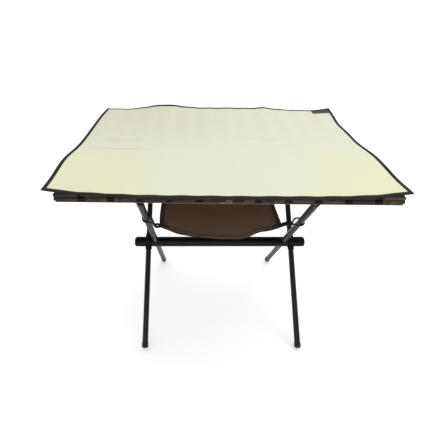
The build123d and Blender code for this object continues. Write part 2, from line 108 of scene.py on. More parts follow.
# The label, on the mat's own plane. It is a little larger here than in the CAD model.
LABEL_PLACE = (0.3640, 0.2765)
LABEL_WIDTH = 0.058
LABEL_DEPTH = 0.033


# ---------------------------------------------------------------- mesh helpers


def slat_x(index):
    """Middle of a slat. The last one's pocket ends at the top's right edge."""
    return (TOP_WIDTH - POCKET_WIDTH) / 2 - (SLAT_COUNT - 1 - index) * SLAT_PITCH


def pocket_ends(index):
    """Where a slat's pocket starts and ends in X. The first one is a little wider than the rest."""
    start = slat_x(index) - POCKET_WIDTH / 2 if index > 0 else -TOP_WIDTH / 2
    return start, slat_x(index) + POCKET_WIDTH / 2


def askew(point):
    """A place on the top, turned by the top's small yaw."""
    cosine, sine = math.cos(TOP_YAW), math.sin(TOP_YAW)
    return Vector((point[0] * cosine - point[1] * sine, point[0] * sine + point[1] * cosine, point[2]))


def hump(value, centre, height, width):
    """A smooth rise of that height and width, centred on a place."""
    return height * math.exp(-(((value - centre) / width) ** 2))


def waves(value, rises):
    return sum(hump(value, *rise) for rise in rises)


def mesh_object(name, points, faces, flat=None):
    """A smooth mesh piece. flat is each point's place on the flat cloth, in metres, kept as its UV."""
    mesh = bpy.data.meshes.new(name)
    mesh.from_pydata([tuple(point) for point in points], [], faces)
    if flat:
        layer = mesh.uv_layers.new(name="flat")
        for loop in mesh.loops:
            layer.data[loop.index].uv = flat[loop.vertex_index]
    for polygon in mesh.polygons:
        polygon.use_smooth = True
    piece = bpy.data.objects.new(name, mesh)
    bpy.context.scene.collection.objects.link(piece)
    return piece


def surface_normal(surface, x, y):
    """Which way a surface(x, y) faces at a place."""
    step = 0.0005
    along = surface(x + step, y) - surface(x - step, y)
    across = surface(x, y + step) - surface(x, y - step)
    return along.cross(across).normalized()


def on_sheet(surface, x, y):
    """The middle of a sheet at a place on its flat cloth, its normal there, and that place."""
    return surface(x, y), surface_normal(surface, x, y), (x, y)


def thin_sheet(name, surface, width, depth, columns, rows, thickness, centre=(0.0, 0.0)):
    """A closed thin sheet whose middle is surface(x, y) over a flat rectangle."""
    points = []
    flat = []
    for side in (1, -1):
        for row in range(rows + 1):
            for column in range(columns + 1):
                x = centre[0] + width * (column / columns - 0.5)
                y = centre[1] + depth * (row / rows - 0.5)
                points.append(surface(x, y) + surface_normal(surface, x, y) * (side * thickness / 2))
                flat.append((x, y))
    line = columns + 1
    layer = line * (rows + 1)
    faces = []
    for row in range(rows):
        for column in range(columns):
            corner = row * line + column
            quad = (corner, corner + 1, corner + line + 1, corner + line)
            faces.append(quad)
            faces.append(tuple(layer + place for place in reversed(quad)))
    around = list(range(columns))
    around += [row * line + columns for row in range(rows)]
    around += [rows * line + column for column in range(columns, 0, -1)]
    around += [row * line for row in range(rows, 0, -1)]
    for place, following in zip(around, around[1:] + around[:1]):
        faces.append((following, place, layer + place, layer + following))
    return mesh_object(name, points, faces, flat)


def ring_band(here, there, count):
    """Faces between two closed rings of points, each given by the place of its first point."""
    band = []
    for step in range(count):
        after = (step + 1) % count
        band.append((here + step, there + step, there + after, here + after))
    return band


def skin(rings, closed):
    """Points and faces over rings of points. A run of rings that isn't closed gets flat ends."""
    count = len(rings[0])
    points = [point for ring in rings for point in ring]
    faces = []
    for span in range(len(rings) if closed else len(rings) - 1):
        faces += ring_band(span * count, (span + 1) % len(rings) * count, count)
    if not closed:
        faces.append(tuple(range(count)))
        faces.append(tuple(reversed(range(len(points) - count, len(points)))))
    return points, faces


def lofted(name, rings, closed, flat=None):
    points, faces = skin(rings, closed)
    return mesh_object(name, points, faces, flat)


def many_lofted(name, runs_of_rings, closed):
    """One piece made of many separate skins."""
    points = []
    faces = []
    for rings in runs_of_rings:
        base = len(points)
        more_points, more_faces = skin(rings, closed)
        points += more_points
        faces += [tuple(base + place for place in face) for face in more_faces]
    return mesh_object(name, points, faces)


def round_outline(radius, sides=12):
    angles = [2 * math.pi * side / sides for side in range(sides)]
    return [(radius * math.cos(angle), radius * math.sin(angle)) for angle in angles]


def round_rectangle(share):
    """A place round a rectangle's edge, as shares of its half width and half depth."""
    corners = ((-1, -1), (1, -1), (1, 1), (-1, 1), (-1, -1))
    side = min(int(4 * share), 3)
    along = 4 * share - side
    start, end = corners[side], corners[side + 1]
    return start[0] + (end[0] - start[0]) * along, start[1] + (end[1] - start[1]) * along


def tape_section(width, gap, thickness):
    """Cross-section of a tape folded over an edge: (distance in from the edge, height) pairs."""
    outer, inner = gap + thickness, gap
    nose = [math.radians(angle) for angle in range(90, -91, -30)]
    across = [width * share for share in (0.25, 0.5, 0.75, 1.0)]
    section = [(inward, outer) for inward in reversed(across)]
    section += [(-0.7 * outer * math.cos(angle), outer * math.sin(angle)) for angle in nose]
    section += [(inward, -outer) for inward in across]
    section += [(inward, -inner) for inward in reversed(across)]
    section += [(-0.3 * inner * math.cos(angle), inner * math.sin(angle)) for angle in reversed(nose)]
    section += [(inward, inner) for inward in across]
    return section


def edge_tape(name, edge, steps, section, closed=False):
    """A tape folded over an edge. edge(share, inward) is on_sheet at a share of the way along it."""
    rings = []
    flat = []
    for step in range(steps if closed else steps + 1):
        ring = []
        for inward, height in section:
            place, normal, spot = edge(step / steps, inward)
            ring.append(place + normal * height)
            flat.append(spot)
        rings.append(ring)
    return lofted(name, rings, closed, flat)


def edge_run(edge, inward, lift, steps, facing=1, margin=0.0):
    """A run for stitches along an edge, a little in from it and above or below its middle."""
    run = []
    for step in range(steps + 1):
        place, normal, _ = edge(margin + (1 - 2 * margin) * step / steps, inward)
        run.append((place + normal * lift, normal * facing))
    return run


def stitch_rings(first, heading, normal, length, radius):
    """One stitch: thickest in its middle, with both ends sunk into the cloth."""
    across = normal.cross(heading).normalized()
    rings = []
    for share, swell, lift in ((0.0, 0.5, -0.6), (0.5, 1.0, 0.5), (1.0, 0.5, -0.6)):
        middle = first + heading * (length * share) + normal * (radius * lift)
        rings.append([middle + (across * a + normal * b) * swell for a, b in round_outline(radius, 6)])
    return rings


def stitches(name, runs, length=0.0030, gap=0.0012, radius=0.00028):
    """Short raised stitches along runs of (place, normal) pairs, all in one piece."""
    made = []
    for run in runs:
        travelled = 0.0
        due = gap
        for (start, normal), (end, _) in zip(run, run[1:]):
            span = (end - start).length
            heading = (end - start).normalized()
            while due + length < travelled + span:
                first = start + heading * (due - travelled)
                made.append(stitch_rings(first, heading, normal, length, radius))
                due += length + gap
            travelled += span
    return many_lofted(name, made, closed=False)


def sampled(places, order=3):
    """Points along the smooth curve that these places control."""
    curve = bpy.data.curves.new("guide", "CURVE")
    curve.dimensions = "3D"
    spline = curve.splines.new("NURBS")
    spline.points.add(len(places) - 1)
    for control, place in zip(spline.points, places):
        control.co = (place[0], place[1], place[2], 1)
    spline.order_u = order
    spline.use_endpoint_u = True
    curve.resolution_u = 12
    guide = bpy.data.objects.new("guide", curve)
    mesh = bpy.data.meshes.new_from_object(guide)
    points = [vertex.co.copy() for vertex in mesh.vertices]
    bpy.data.objects.remove(guide)
    bpy.data.curves.remove(curve)
    bpy.data.meshes.remove(mesh)
    return points


def swept(name, places, outline, up=(0, 0, 1), taper=None):
    """A closed solid: an outline of (across, up) pairs carried along a smooth curve."""
    line = sampled(places)
    rings = []
    for index, place in enumerate(line):
        before, after = line[max(index - 1, 0)], line[min(index + 1, len(line) - 1)]
        heading = (after - before).normalized()
        across = heading.cross(Vector(up)).normalized()
        rise = across.cross(heading)
        size = taper(index / (len(line) - 1)) if taper else 1.0
        rings.append([place + across * (a * size) + rise * (b * size) for a, b in outline])
    return lofted(name, rings, closed=False)


def strap_outline(width, thickness):
    """Flat webbing with rounded edges, its width across the run."""
    round_part = thickness / 2
    outline = []
    for side in (1, -1):
        for angle in range(-75, 76, 30):
            turn = math.radians(angle)
            across = side * (width / 2 - round_part + round_part * math.cos(turn))
            outline.append((across, side * round_part * math.sin(turn)))
    return outline


def on_edge(outline):
    """The same outline with its width along the run's up direction."""
    return [(-up, across) for across, up in outline]


def corner_name(side, end):
    return f"{SIDES[side]}_{ENDS[end]}"


def dressed(piece, slot, body=None, nodes_replaced=(), material=None):
    """Give a new piece a material, its slot's own or another one, attach it to its body if one is given and
    hide the CAD nodes that it stands in for."""
    piece.data.materials.append(material or FINISHES[slot])
    if body:
        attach(piece, body)
    if nodes_replaced:
        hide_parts(*nodes_replaced)
    return piece


# ---------------------------------------------------------------- materials


def tinted(shade, amount):
    """A lighter or darker version of a colour."""
    return tuple(amount * channel for channel in shade[:3]) + (1.0,)


def srgb(red, green, blue):
    """A colour as it is seen, 0 to 255, for a shader socket."""
    def linear(value):
        share = value / 255
        return share / 12.92 if share <= 0.04045 else ((share + 0.055) / 1.055) ** 2.4
    return (linear(red), linear(green), linear(blue), 1.0)


class Nodes:
    """A node tree, with short calls for the nodes that the finishes and the light share."""

    def __init__(self, tree):
        self.tree = tree

    def node(self, kind, **settings):
        made = self.tree.nodes.new(kind)
        for name, value in settings.items():
            setattr(made, name, value)
        return made

    def link(self, source, target):
        self.tree.links.new(source, target)

    def place(self, kind="Object", stretch=(1, 1, 1), turn=0.0):
        """Coordinates on the piece, in metres: Object for rigid pieces, UV for flat cloth."""
        source = self.node("ShaderNodeTexCoord").outputs[kind]
        mapping = self.node("ShaderNodeMapping")
        mapping.inputs["Scale"].default_value = stretch
        mapping.inputs["Rotation"].default_value = (0, 0, turn)
        self.link(source, mapping.inputs["Vector"])
        return mapping.outputs["Vector"]

    def noise(self, place, scale, detail=3.0, roughness=0.5, shift=0.0):
        texture = self.node("ShaderNodeTexNoise", noise_dimensions="4D")
        texture.inputs["W"].default_value = shift
        texture.inputs["Scale"].default_value = scale
        texture.inputs["Detail"].default_value = detail
        texture.inputs["Roughness"].default_value = roughness
        self.link(place, texture.inputs["Vector"])
        return texture.outputs["Fac"]

    def maths(self, operation, first, second=0.5, third=0.5):
        made = self.node("ShaderNodeMath", operation=operation)
        for socket, value in zip(made.inputs, (first, second, third)):
            if isinstance(value, (int, float)):
                socket.default_value = value
            else:
                self.link(value, socket)
        return made.outputs[0]

    def apart(self, value, other):
        """How far a value is from another."""
        return self.maths("ABSOLUTE", self.maths("SUBTRACT", value, other))

    def between(self, value, start, end, low=0.0, high=1.0):
        """value's smooth step from low at start to high at end."""
        made = self.node("ShaderNodeMapRange", interpolation_type="SMOOTHSTEP")
        for name, amount in zip(("From Min", "From Max", "To Min", "To Max"), (start, end, low, high)):
            made.inputs[name].default_value = amount
        self.link(value, made.inputs["Value"])
        return made.outputs["Result"]

    def mix(self, share, first, second):
        made = self.node("ShaderNodeMix", data_type="RGBA")
        self.link(share, made.inputs["Factor"])
        for name, value in (("A", first), ("B", second)):
            socket = next(s for s in made.inputs if s.name == name and s.type == "RGBA")
            if isinstance(value, tuple):
                socket.default_value = value
            else:
                self.link(value, socket)
        return next(s for s in made.outputs if s.type == "RGBA")

    def axes(self, place):
        """The X, Y and Z of a place."""
        split = self.node("ShaderNodeSeparateXYZ")
        self.link(place, split.inputs["Vector"])
        return split.outputs

    def weave(self, place, pitch, flat):
        """Height of a plain weave: on a flat cloth from two thread directions, on a solid from three."""
        turns = 2 * math.pi / pitch
        waves = [self.maths("SINE", self.maths("MULTIPLY", axis, turns)) for axis in self.axes(place)]
        height = self.maths("MULTIPLY", waves[0], waves[1])
        if not flat:
            height = self.maths("MULTIPLY_ADD", waves[1], waves[2], height)
            height = self.maths("MULTIPLY_ADD", waves[0], waves[2], height)
        return self.maths("MULTIPLY_ADD", height, 0.5, 0.5)


class Finish(Nodes):
    """A material's node tree, round its principled shader."""

    def __init__(self, name, roughness, specular=0.5, metallic=0.0):
        self.material = bpy.data.materials.new(name)
        self.material.use_nodes = True
        super().__init__(self.material.node_tree)
        self.shader = next(node for node in self.tree.nodes if node.type == "BSDF_PRINCIPLED")
        self.shader.inputs["Roughness"].default_value = roughness
        self.shader.inputs["Specular IOR Level"].default_value = specular
        self.shader.inputs["Metallic"].default_value = metallic

    def colour(self, value):
        self.link(value, self.shader.inputs["Base Color"])

    def rough(self, value, low, high):
        """Roughness that varies between low and high with a value."""
        self.link(self.between(value, 0.25, 0.75, low, high), self.shader.inputs["Roughness"])

    def bump(self, height, strength, distance, under=None):
        made = self.node("ShaderNodeBump")
        made.inputs["Strength"].default_value = strength
        made.inputs["Distance"].default_value = distance
        self.link(height, made.inputs["Height"])
        if under:
            self.link(under, made.inputs["Normal"])
        self.link(made.outputs["Normal"], self.shader.inputs["Normal"])
        return made.outputs["Normal"]


def pole_coat(name, dark, light, roughness, specular):
    """Satin coat on drawn tube: fine lines along the tube, soft cloudiness and a few rubbed spots."""
    finish = Finish(name, roughness, specular=specular)
    place = finish.place()
    clouds = finish.noise(place, 9, detail=4)
    lines = finish.noise(finish.place(stretch=(900, 14, 14)), 1, detail=2)
    rubbed = finish.between(finish.noise(place, 120, detail=6, shift=2.0), 0.66, 0.74)
    coat = finish.mix(finish.between(clouds, 0.3, 0.7), dark, light)
    finish.colour(finish.mix(rubbed, coat, srgb(62, 62, 64)))
    finish.rough(finish.maths("MULTIPLY_ADD", lines, 0.5, finish.maths("MULTIPLY", clouds, 0.5)),
                 roughness - 0.07, roughness + 0.08)
    under = finish.bump(lines, 0.10, 0.00008)
    finish.bump(finish.noise(place, 1500, detail=1), 0.06, 0.00006, under)
    return finish.material


def moulded_plastic(name, shade, grain):
    """Moulded plastic: fine spark grain and slight mottling in tone and gloss."""
    finish = Finish(name, 0.5, specular=0.12)
    place = finish.place()
    mottle = finish.noise(place, 60, detail=4)
    finish.colour(finish.mix(finish.between(mottle, 0.35, 0.65), shade, tinted(shade, 1.5)))
    finish.rough(mottle, 0.38, 0.60)
    finish.bump(finish.noise(place, grain, detail=2), 0.25, 0.00012)
    return finish.material


def rubber():
    """Foot rubber: dull, finely pitted, with dust round the sole."""
    finish = Finish("foot_rubber", 0.7, specular=0.35)
    place = finish.place()
    dust = finish.between(finish.axes(place)[2], 0.0, 0.016, 1.0, 0.0)
    patches = finish.maths("MULTIPLY", dust, finish.noise(place, 300, detail=5))
    finish.colour(finish.mix(patches, srgb(26, 26, 26), srgb(64, 60, 54)))
    finish.rough(finish.noise(place, 90), 0.55, 0.80)
    finish.bump(finish.noise(place, 1400, detail=3), 0.3, 0.0001)
    return finish.material


def bare_metal(name, shade, roughness):
    """Turned and plated steel: fine rings round its axis and dull finger marks."""
    finish = Finish(name, roughness, metallic=1.0)
    place = finish.place()
    rings = finish.noise(finish.place(stretch=(1, 1, 60)), 60, detail=2)
    marks = finish.noise(place, 70, detail=4)
    finish.colour(finish.mix(finish.between(marks, 0.35, 0.7), shade, tinted(shade, 0.7)))
    finish.rough(marks, roughness - 0.08, roughness + 0.14)
    finish.bump(rings, 0.15, 0.00005)
    return finish.material


def slat_board():
    """Plain wooden board: long grain along the slat, with pores and a few darker streaks."""
    finish = Finish("slat_wood", 0.6)
    grain = finish.noise(finish.place(stretch=(1, 0.04, 1)), 180, detail=6, roughness=0.65)
    streaks = finish.noise(finish.place(stretch=(1, 0.08, 1)), 40, detail=3)
    wood = finish.mix(finish.between(grain, 0.3, 0.7), srgb(196, 164, 120), srgb(160, 124, 82))
    finish.colour(finish.mix(finish.between(streaks, 0.6, 0.75), wood, srgb(128, 94, 60)))
    finish.rough(grain, 0.5, 0.72)
    finish.bump(grain, 0.3, 0.0002)
    return finish.material


def camouflage():
    """Printed woven polyester: soft-edged blotches of brown, near black, olive and pinkish tan."""
    finish = Finish("camouflage_cloth", 0.8, specular=0.25)
    finish.shader.inputs["Sheen Weight"].default_value = 0.12
    place = finish.place()
    broad = finish.noise(place, 9.5, detail=4, roughness=0.6, shift=4.2)
    second = finish.noise(place, 12.0, detail=4, roughness=0.6, shift=9.1)
    third = finish.noise(place, 15.0, detail=5, roughness=0.65, shift=1.7)
    cloth = finish.mix(finish.between(broad, 0.50, 0.52), srgb(36, 28, 22), srgb(74, 59, 48))
    cloth = finish.mix(finish.between(second, 0.55, 0.57), cloth, srgb(42, 39, 24))
    cloth = finish.mix(finish.between(third, 0.56, 0.58), cloth, srgb(17, 14, 13))
    speckle = finish.noise(place, 700, detail=3)
    finish.colour(finish.mix(finish.between(speckle, 0.25, 0.95, 0.0, 0.28), cloth, srgb(92, 80, 70)))
    finish.rough(speckle, 0.7, 0.9)
    under = finish.bump(finish.weave(place, 0.0012, flat=False), 0.35, 0.00018)
    finish.bump(finish.noise(place, 120, detail=3), 0.25, 0.0004, under)
    return finish.material


def woven(name, shade, worn, pitch, flat=True, roughness=0.8, sheen=0.1, lit_front=None):
    """Plain woven cloth or tape, with slubs, a faint uneven dye and slightly worn high spots.
    A flat cloth can be painted lighter towards its front: painted light, where more light reaches it under
    the top."""
    finish = Finish(name, roughness, specular=0.25)
    finish.shader.inputs["Sheen Weight"].default_value = sheen
    place = finish.place("UV" if flat else "Object")
    threads = finish.weave(place, pitch, flat)
    dye = finish.noise(place, 14, detail=4)
    slubs = finish.noise(place, 450, detail=3)
    cloth = finish.mix(finish.between(dye, 0.3, 0.7, 0.0, 0.6), shade, worn)
    # Painted light: the cloth is painted lighter towards its front, where more light reaches under the top.
    if lit_front:
        cloth = finish.mix(finish.between(finish.axes(place)[1], 0.02, -0.15), cloth, lit_front)
    high_spots = finish.maths("MULTIPLY", finish.between(slubs, 0.5, 0.8), threads)
    finish.colour(finish.mix(high_spots, cloth, worn))
    finish.rough(slubs, roughness - 0.08, roughness + 0.08)
    under = finish.bump(threads, 0.4, 0.0002)
    finish.bump(finish.noise(place, 60, detail=3), 0.2, 0.0006, under)
    return finish.material


def mat_cloth():
    """Pale coated cloth: yellower at the front corners and greyer to the rear left, with painted shade
    along its soft creases and between the slats where they faintly show through, rub marks and a fine weave
    under the coat."""
    finish = Finish("mat_cloth", 0.55, specular=0.35)
    place = finish.place("UV")
    across, along, _ = finish.axes(place)
    outwards = finish.between(finish.apart(across, 0.02), 0.06, 0.30)
    forwards = finish.between(along, -0.20, 0.08, 1.0, 0.0)
    yellow = finish.maths("MULTIPLY", outwards, forwards)
    rear = finish.between(along, -0.15, 0.22)
    left = finish.between(across, 0.20, -0.34)
    shade = finish.maths("MULTIPLY", rear, finish.maths("MULTIPLY_ADD", left, 0.85, 0.15))
    cloth = finish.mix(yellow, srgb(213, 215, 194), srgb(215, 216, 182))
    cloth = finish.mix(shade, cloth, srgb(206, 205, 185))
    # Painted shade: a soft darker line along each crease.
    for crease_x, crease_y, reach in CREASES:
        crease_shade_line = finish.between(finish.apart(along, crease_y), 0.001, 0.010, 1.0, 0.0)
        crease_shade_middle = finish.between(finish.apart(across, crease_x), 0.3 * reach, 1.4 * reach, 0.25, 0.0)
        cloth = finish.mix(finish.maths("MULTIPLY", crease_shade_line, crease_shade_middle), cloth, srgb(170, 170, 158))
    # Painted shade: faint darker bands between the slats towards the rear, where the mat dips between them.
    slat_turns = 2 * math.pi / SLAT_PITCH
    turns = finish.maths("MULTIPLY_ADD", across, slat_turns, -slat_turns * slat_x(0))
    slat_gap_shade = finish.between(finish.maths("COSINE", turns), -1.0, 1.0, 0.07, 0.0)
    cloth = finish.mix(finish.maths("MULTIPLY", slat_gap_shade, rear), cloth, srgb(176, 176, 160))
    rubs = finish.noise(finish.place("UV", stretch=(1, 2.6, 1)), 11, detail=5, roughness=0.6)
    cloth = finish.mix(finish.between(rubs, 0.55, 0.85, 0.0, 0.35), cloth, srgb(205, 206, 188))
    finish.colour(cloth)
    finish.rough(finish.noise(place, 25, detail=4), 0.45, 0.65)
    under = finish.bump(finish.weave(place, 0.0009, flat=True), 0.12, 0.0001)
    finish.bump(finish.noise(place, 40, detail=3), 0.15, 0.0005, under)
    return finish.material


def label_cloth():
    """Blank woven label: dark brown satin with a paler, reddish brown selvage along its front."""
    finish = Finish("label_cloth", 0.6, specular=0.3)
    place = finish.place("UV")
    front_edge = LABEL_PLACE[1] - LABEL_DEPTH / 2
    front = finish.between(finish.axes(place)[1], front_edge + 0.014, front_edge + 0.016, 1.0, 0.0)
    ribs = finish.weave(finish.place("UV", stretch=(0.2, 1, 1)), 0.0007, flat=True)
    cloth = finish.mix(ribs, srgb(40, 30, 27), srgb(54, 42, 37))
    finish.colour(finish.mix(front, cloth, srgb(72, 55, 47)))
    finish.rough(ribs, 0.5, 0.7)
    finish.bump(ribs, 0.4, 0.00015)
    return finish.material


def braided_cord():
    """Braided sheath of an elastic cord: two crossing spirals of thread, slightly glossy."""
    finish = Finish("braided_cord", 0.6, specular=0.35)
    place = finish.place()
    braid = finish.weave(finish.place(turn=math.radians(45)), 0.0011, flat=False)
    finish.colour(finish.mix(braid, srgb(14, 14, 14), srgb(40, 40, 40)))
    finish.rough(finish.noise(place, 400), 0.5, 0.7)
    finish.bump(braid, 0.6, 0.0003)
    return finish.material


FINISHES = {
    # Painted light: the inner and outer poles share one coat, and the inner poles' copy is painted a little
    # lighter for the light that they catch.
    "inner_pole_coat": pole_coat("inner_pole_coat", srgb(24, 24, 25), srgb(30, 30, 31), 0.34, 0.10),
    "outer_pole_coat": pole_coat("outer_pole_coat", srgb(15, 15, 16), srgb(20, 20, 21), 0.36, 0.3),
    "beam_coat": pole_coat("beam_coat", srgb(5, 5, 5), srgb(8, 8, 8), 0.36, 0.16),
    "moulded_black": moulded_plastic("moulded_black", srgb(12, 12, 12), 900),
    "nylon": moulded_plastic("dyed_nylon", srgb(40, 40, 38), 600),
    "rubber": rubber(),
    "elastic_cord": braided_cord(),
    "steel": bare_metal("plated_steel", srgb(176, 176, 178), 0.3),
    "slat_board": slat_board(),
    "rail_aluminium": bare_metal("black_anodised_rail", srgb(34, 34, 36), 0.42),
    "camouflage_fabric": camouflage(),
    "webbing": woven("olive_webbing", srgb(74, 68, 48), srgb(96, 90, 66), 0.0014, flat=False),
    # Painted light: the shelf cloth is painted lighter towards its front, where more light reaches under
    # the top.
    "shelf_fabric": woven("shelf_cloth", srgb(116, 80, 54), srgb(130, 94, 66), 0.0011, sheen=0.04,
                          lit_front=srgb(158, 128, 102)),
    "shelf_binding": woven("shelf_tape", srgb(30, 27, 24), srgb(46, 42, 37), 0.0013),
    "mat_fabric": mat_cloth(),
    "mat_binding": woven("mat_tape", srgb(19, 19, 17), srgb(31, 30, 27), 0.0012, sheen=0.03),
    "label_fabric": label_cloth(),
}
# Painted highlight: the hems are the shelf's own brown cloth folded over, painted lighter and greyer where
# they catch the light.
LIT_SHELF_HEM = woven("shelf_hem_highlight_cloth", srgb(124, 100, 80), srgb(146, 122, 100), 0.0011, sheen=0.04)
BEIGE_WEBBING = woven("beige_webbing", srgb(140, 126, 108), srgb(160, 146, 126), 0.0014, flat=False)
SEAM_TAPE = woven("seam_tape", srgb(112, 94, 80), srgb(134, 114, 98), 0.0012, flat=False)
DARK_THREAD = woven("dark_thread", srgb(30, 29, 26), srgb(58, 55, 48), 0.0008, flat=False)
BROWN_THREAD = woven("brown_thread", srgb(58, 46, 36), srgb(92, 76, 60), 0.0008, flat=False)


def finish_cad_nodes():
    """Every CAD node that stays in view takes the finish of its slot."""
    slots = {part["node"]: part["material_slot"] for part in frame["record"]["subparts"]}
    for name, node in nodes.items():
        finish = FINISHES[slots[name]]
        if not node.data.materials:
            node.data.materials.append(finish)
        for index in range(len(node.data.materials)):
            node.data.materials[index] = finish


# ---------------------------------------------------------------- the loose mat


def fading(distance, reach):
    """1 at an edge, falling smoothly to nothing inwards."""
    return math.exp(-((max(distance, 0.0) / reach) ** 2))


def curling(distance, reach):
    """1 at an edge that curls up, falling at once inwards."""
    return math.exp(-max(distance, 0.0) / reach)


def past(distance, softness):
    """The distance past an edge, with a soft start."""
    return (distance + math.hypot(distance, softness)) / 2


def mat_surface(x, y):
    """The mat's middle: flat on the slats, with its edges lifted, pulled and drooping as laid."""
    from_left, from_right = x + MAT_WIDTH / 2, MAT_WIDTH / 2 - x
    from_front, from_rear = y + MAT_DEPTH / 2, MAT_DEPTH / 2 - y
    rise = curling(from_rear, REAR_FADE) * waves(x, REAR_WAVES)
    rise += fading(from_left, LEFT_FADE) * waves(y, LEFT_WAVES)
    rise += fading(from_right, RIGHT_FADE) * waves(y, RIGHT_WAVES)
    tuck = fading(from_right, RIGHT_FADE) * waves(y, RIGHT_TUCKS)
    middle_front = 1 - abs(x / (MAT_WIDTH / 2)) ** 3.7 if abs(x) < MAT_WIDTH / 2 else 0.0
    forward = FRONT_REACH * fading(from_front, FRONT_FADE) * middle_front
    overhang = past(forward - y - MAT_SHIFT.y - TOP_DEPTH / 2, 0.002)
    rise -= DROOP_SLOPE * overhang * middle_front
    near_corner = fading(min(from_left, from_right), CORNER_FADE) * fading(from_front, CORNER_FADE)
    rise += FRONT_CORNER_LIFT * near_corner
    rise += SHOW_THROUGH * (1 + math.cos(2 * math.pi * (x - slat_x(0)) / SLAT_PITCH))
    for crease_x, crease_y, reach in CREASES:
        rise += hump(y, crease_y, CREASE_HEIGHT, CREASE_WIDTH) * hump(x, crease_x, 1.0, reach)
    rise += 0.0004 * math.sin(23 * x + 3 * math.sin(9 * y)) * math.cos(17 * y - 5 * x)
    return askew(Vector((x - tuck, y - forward, MAT_MIDDLE + rise)) + MAT_SHIFT)


def mat_edge(share, inward):
    """The mat's edge, all the way round."""
    across, along = round_rectangle(share)
    return on_sheet(mat_surface, (MAT_WIDTH / 2 - inward) * across, (MAT_DEPTH / 2 - inward) * along)


def make_mat():
    tape_width = 0.0085
    tape_gap = MAT_THICKNESS / 2 + 0.0001
    tape_thickness = 0.0006
    tape_steps = 440
    seam_margin = 0.002
    sheet = thin_sheet("mat_cloth", mat_surface, MAT_WIDTH, MAT_DEPTH, 150, 112, MAT_THICKNESS)
    dressed(sheet, "mat_fabric", "mat", ["mat_sheet"])
    section = tape_section(tape_width, tape_gap, tape_thickness)
    tape = edge_tape("mat_edge_tape", mat_edge, tape_steps, section, closed=True)
    dressed(tape, "mat_binding", "mat", ["mat_binding"])
    face = tape_gap + tape_thickness
    runs = [edge_run(mat_edge, tape_width - seam_margin, side * face, tape_steps) for side in (1, -1)]
    thread = dressed(stitches("mat_stitches", runs), "mat_binding", "mat", material=DARK_THREAD)

    def label_surface(x, y):
        return mat_surface(x, y) + surface_normal(mat_surface, x, y) * (MAT_THICKNESS / 2 + 0.0004)

    size = (LABEL_WIDTH, LABEL_DEPTH, 24, 8, 0.0005)
    label = thin_sheet("mat_label_patch", label_surface, *size, LABEL_PLACE)
    dressed(label, "label_fabric", "mat", ["mat_label"])


# ---------------------------------------------------------------- the slatted top


POCKET_SQUARENESS = 0.34    # of a pocket's section: 1 is round, 0 is square
POCKET_BELLY = 0.0007
END_ROUNDING = 0.0032
COVER_ROWS = 44
COVER_STITCH, COVER_STITCH_GAP, COVER_THREAD = 0.0036, 0.0018, 0.0003
SLEEVE_WALL = 0.0009
SLEEVE_INSET = 0.0003       # inside the CAD sleeve, for slack
SEAM_TAPE_SIZE = (0.0085, 0.0018)
OLIVE_STRAP_SIZE = (0.016, 0.0014)
BEIGE_STRAP_SIZE = (0.027, 0.0013)
COVER_SEAM_OFFSET = 0.0055  # to both sides of the middle between two slats
COVER_SEAM_MARGIN = 0.008   # from the cover's ends


def signed_power(value, power):
    return math.copysign(abs(value) ** power, value)


def cover_lines():
    """Top and bottom lines of the cover across its width, as (x, top, bottom, flat place)."""
    steps = 20
    web_top = PANEL_BOTTOM + WEB_THICKNESS
    line = []
    for index in range(SLAT_COUNT):
        start, end = pocket_ends(index)
        for step in range(steps + 1):
            angle = math.pi * (1 - step / steps)
            across = signed_power(math.cos(angle), POCKET_SQUARENESS)
            height = math.sin(angle) ** POCKET_SQUARENESS if 0 < step < steps else 0.0
            top = web_top + (PANEL_TOP - web_top) * height
            bottom = PANEL_BOTTOM + POCKET_BELLY * (1 - math.sin(angle))
            line.append(((start + end) / 2 + (end - start) / 2 * across, top, bottom))
    travelled = 0.0
    flat = [travelled]
    for (x, top, _), (next_x, next_top, _) in zip(line, line[1:]):
        travelled += math.hypot(next_x - x, next_top - top)
        flat.append(travelled)
    return [(x, top, bottom, place) for (x, top, bottom), place in zip(line, flat)]


def cover_rows():
    """Places from front to rear with the share of its thickness that the cover has there."""
    straight = TOP_DEPTH / 2 - END_ROUNDING
    rounded = []
    for angle in (25, 50, 70, 84):
        turn = math.radians(angle)
        rounded.append((straight + END_ROUNDING * math.sin(turn), 0.35 + 0.65 * math.cos(turn)))
    body = [(straight * (2 * row / COVER_ROWS - 1), 1.0) for row in range(COVER_ROWS + 1)]
    return [(-y, share) for y, share in reversed(rounded)] + body + rounded


def cover_ring(line, y, share):
    """The cover's section at one row, along its top and back along its bottom."""
    pucker = abs(0.0003 * math.cos(2 * math.pi * y / 0.037))
    over, under = [], []
    for x, top, bottom, _ in line:
        middle, thick = (top + bottom) / 2, (top - bottom) / 2
        dip = pucker if thick > WEB_THICKNESS else 0.0
        over.append(askew((x, y, middle + thick * share - dip)))
        under.append(askew((x, y, middle - thick * share)))
    return over + under[::-1]


def cover_stitch_runs():
    """Two seams along every web between pockets, seen from above and below."""
    seam_ends = (COVER_SEAM_MARGIN - TOP_DEPTH / 2, TOP_DEPTH / 2 - COVER_SEAM_MARGIN)
    faces = ((PANEL_BOTTOM + 0.0005, Vector((0, 0, -1))), (PANEL_BOTTOM + WEB_THICKNESS, Vector((0, 0, 1))))
    runs = []
    for index in range(SLAT_COUNT - 1):
        for offset in (-COVER_SEAM_OFFSET, COVER_SEAM_OFFSET):
            x = slat_x(index) + SLAT_PITCH / 2 + offset
            for height, normal in faces:
                runs.append([(askew((x, y, height)), normal) for y in seam_ends])
    return runs


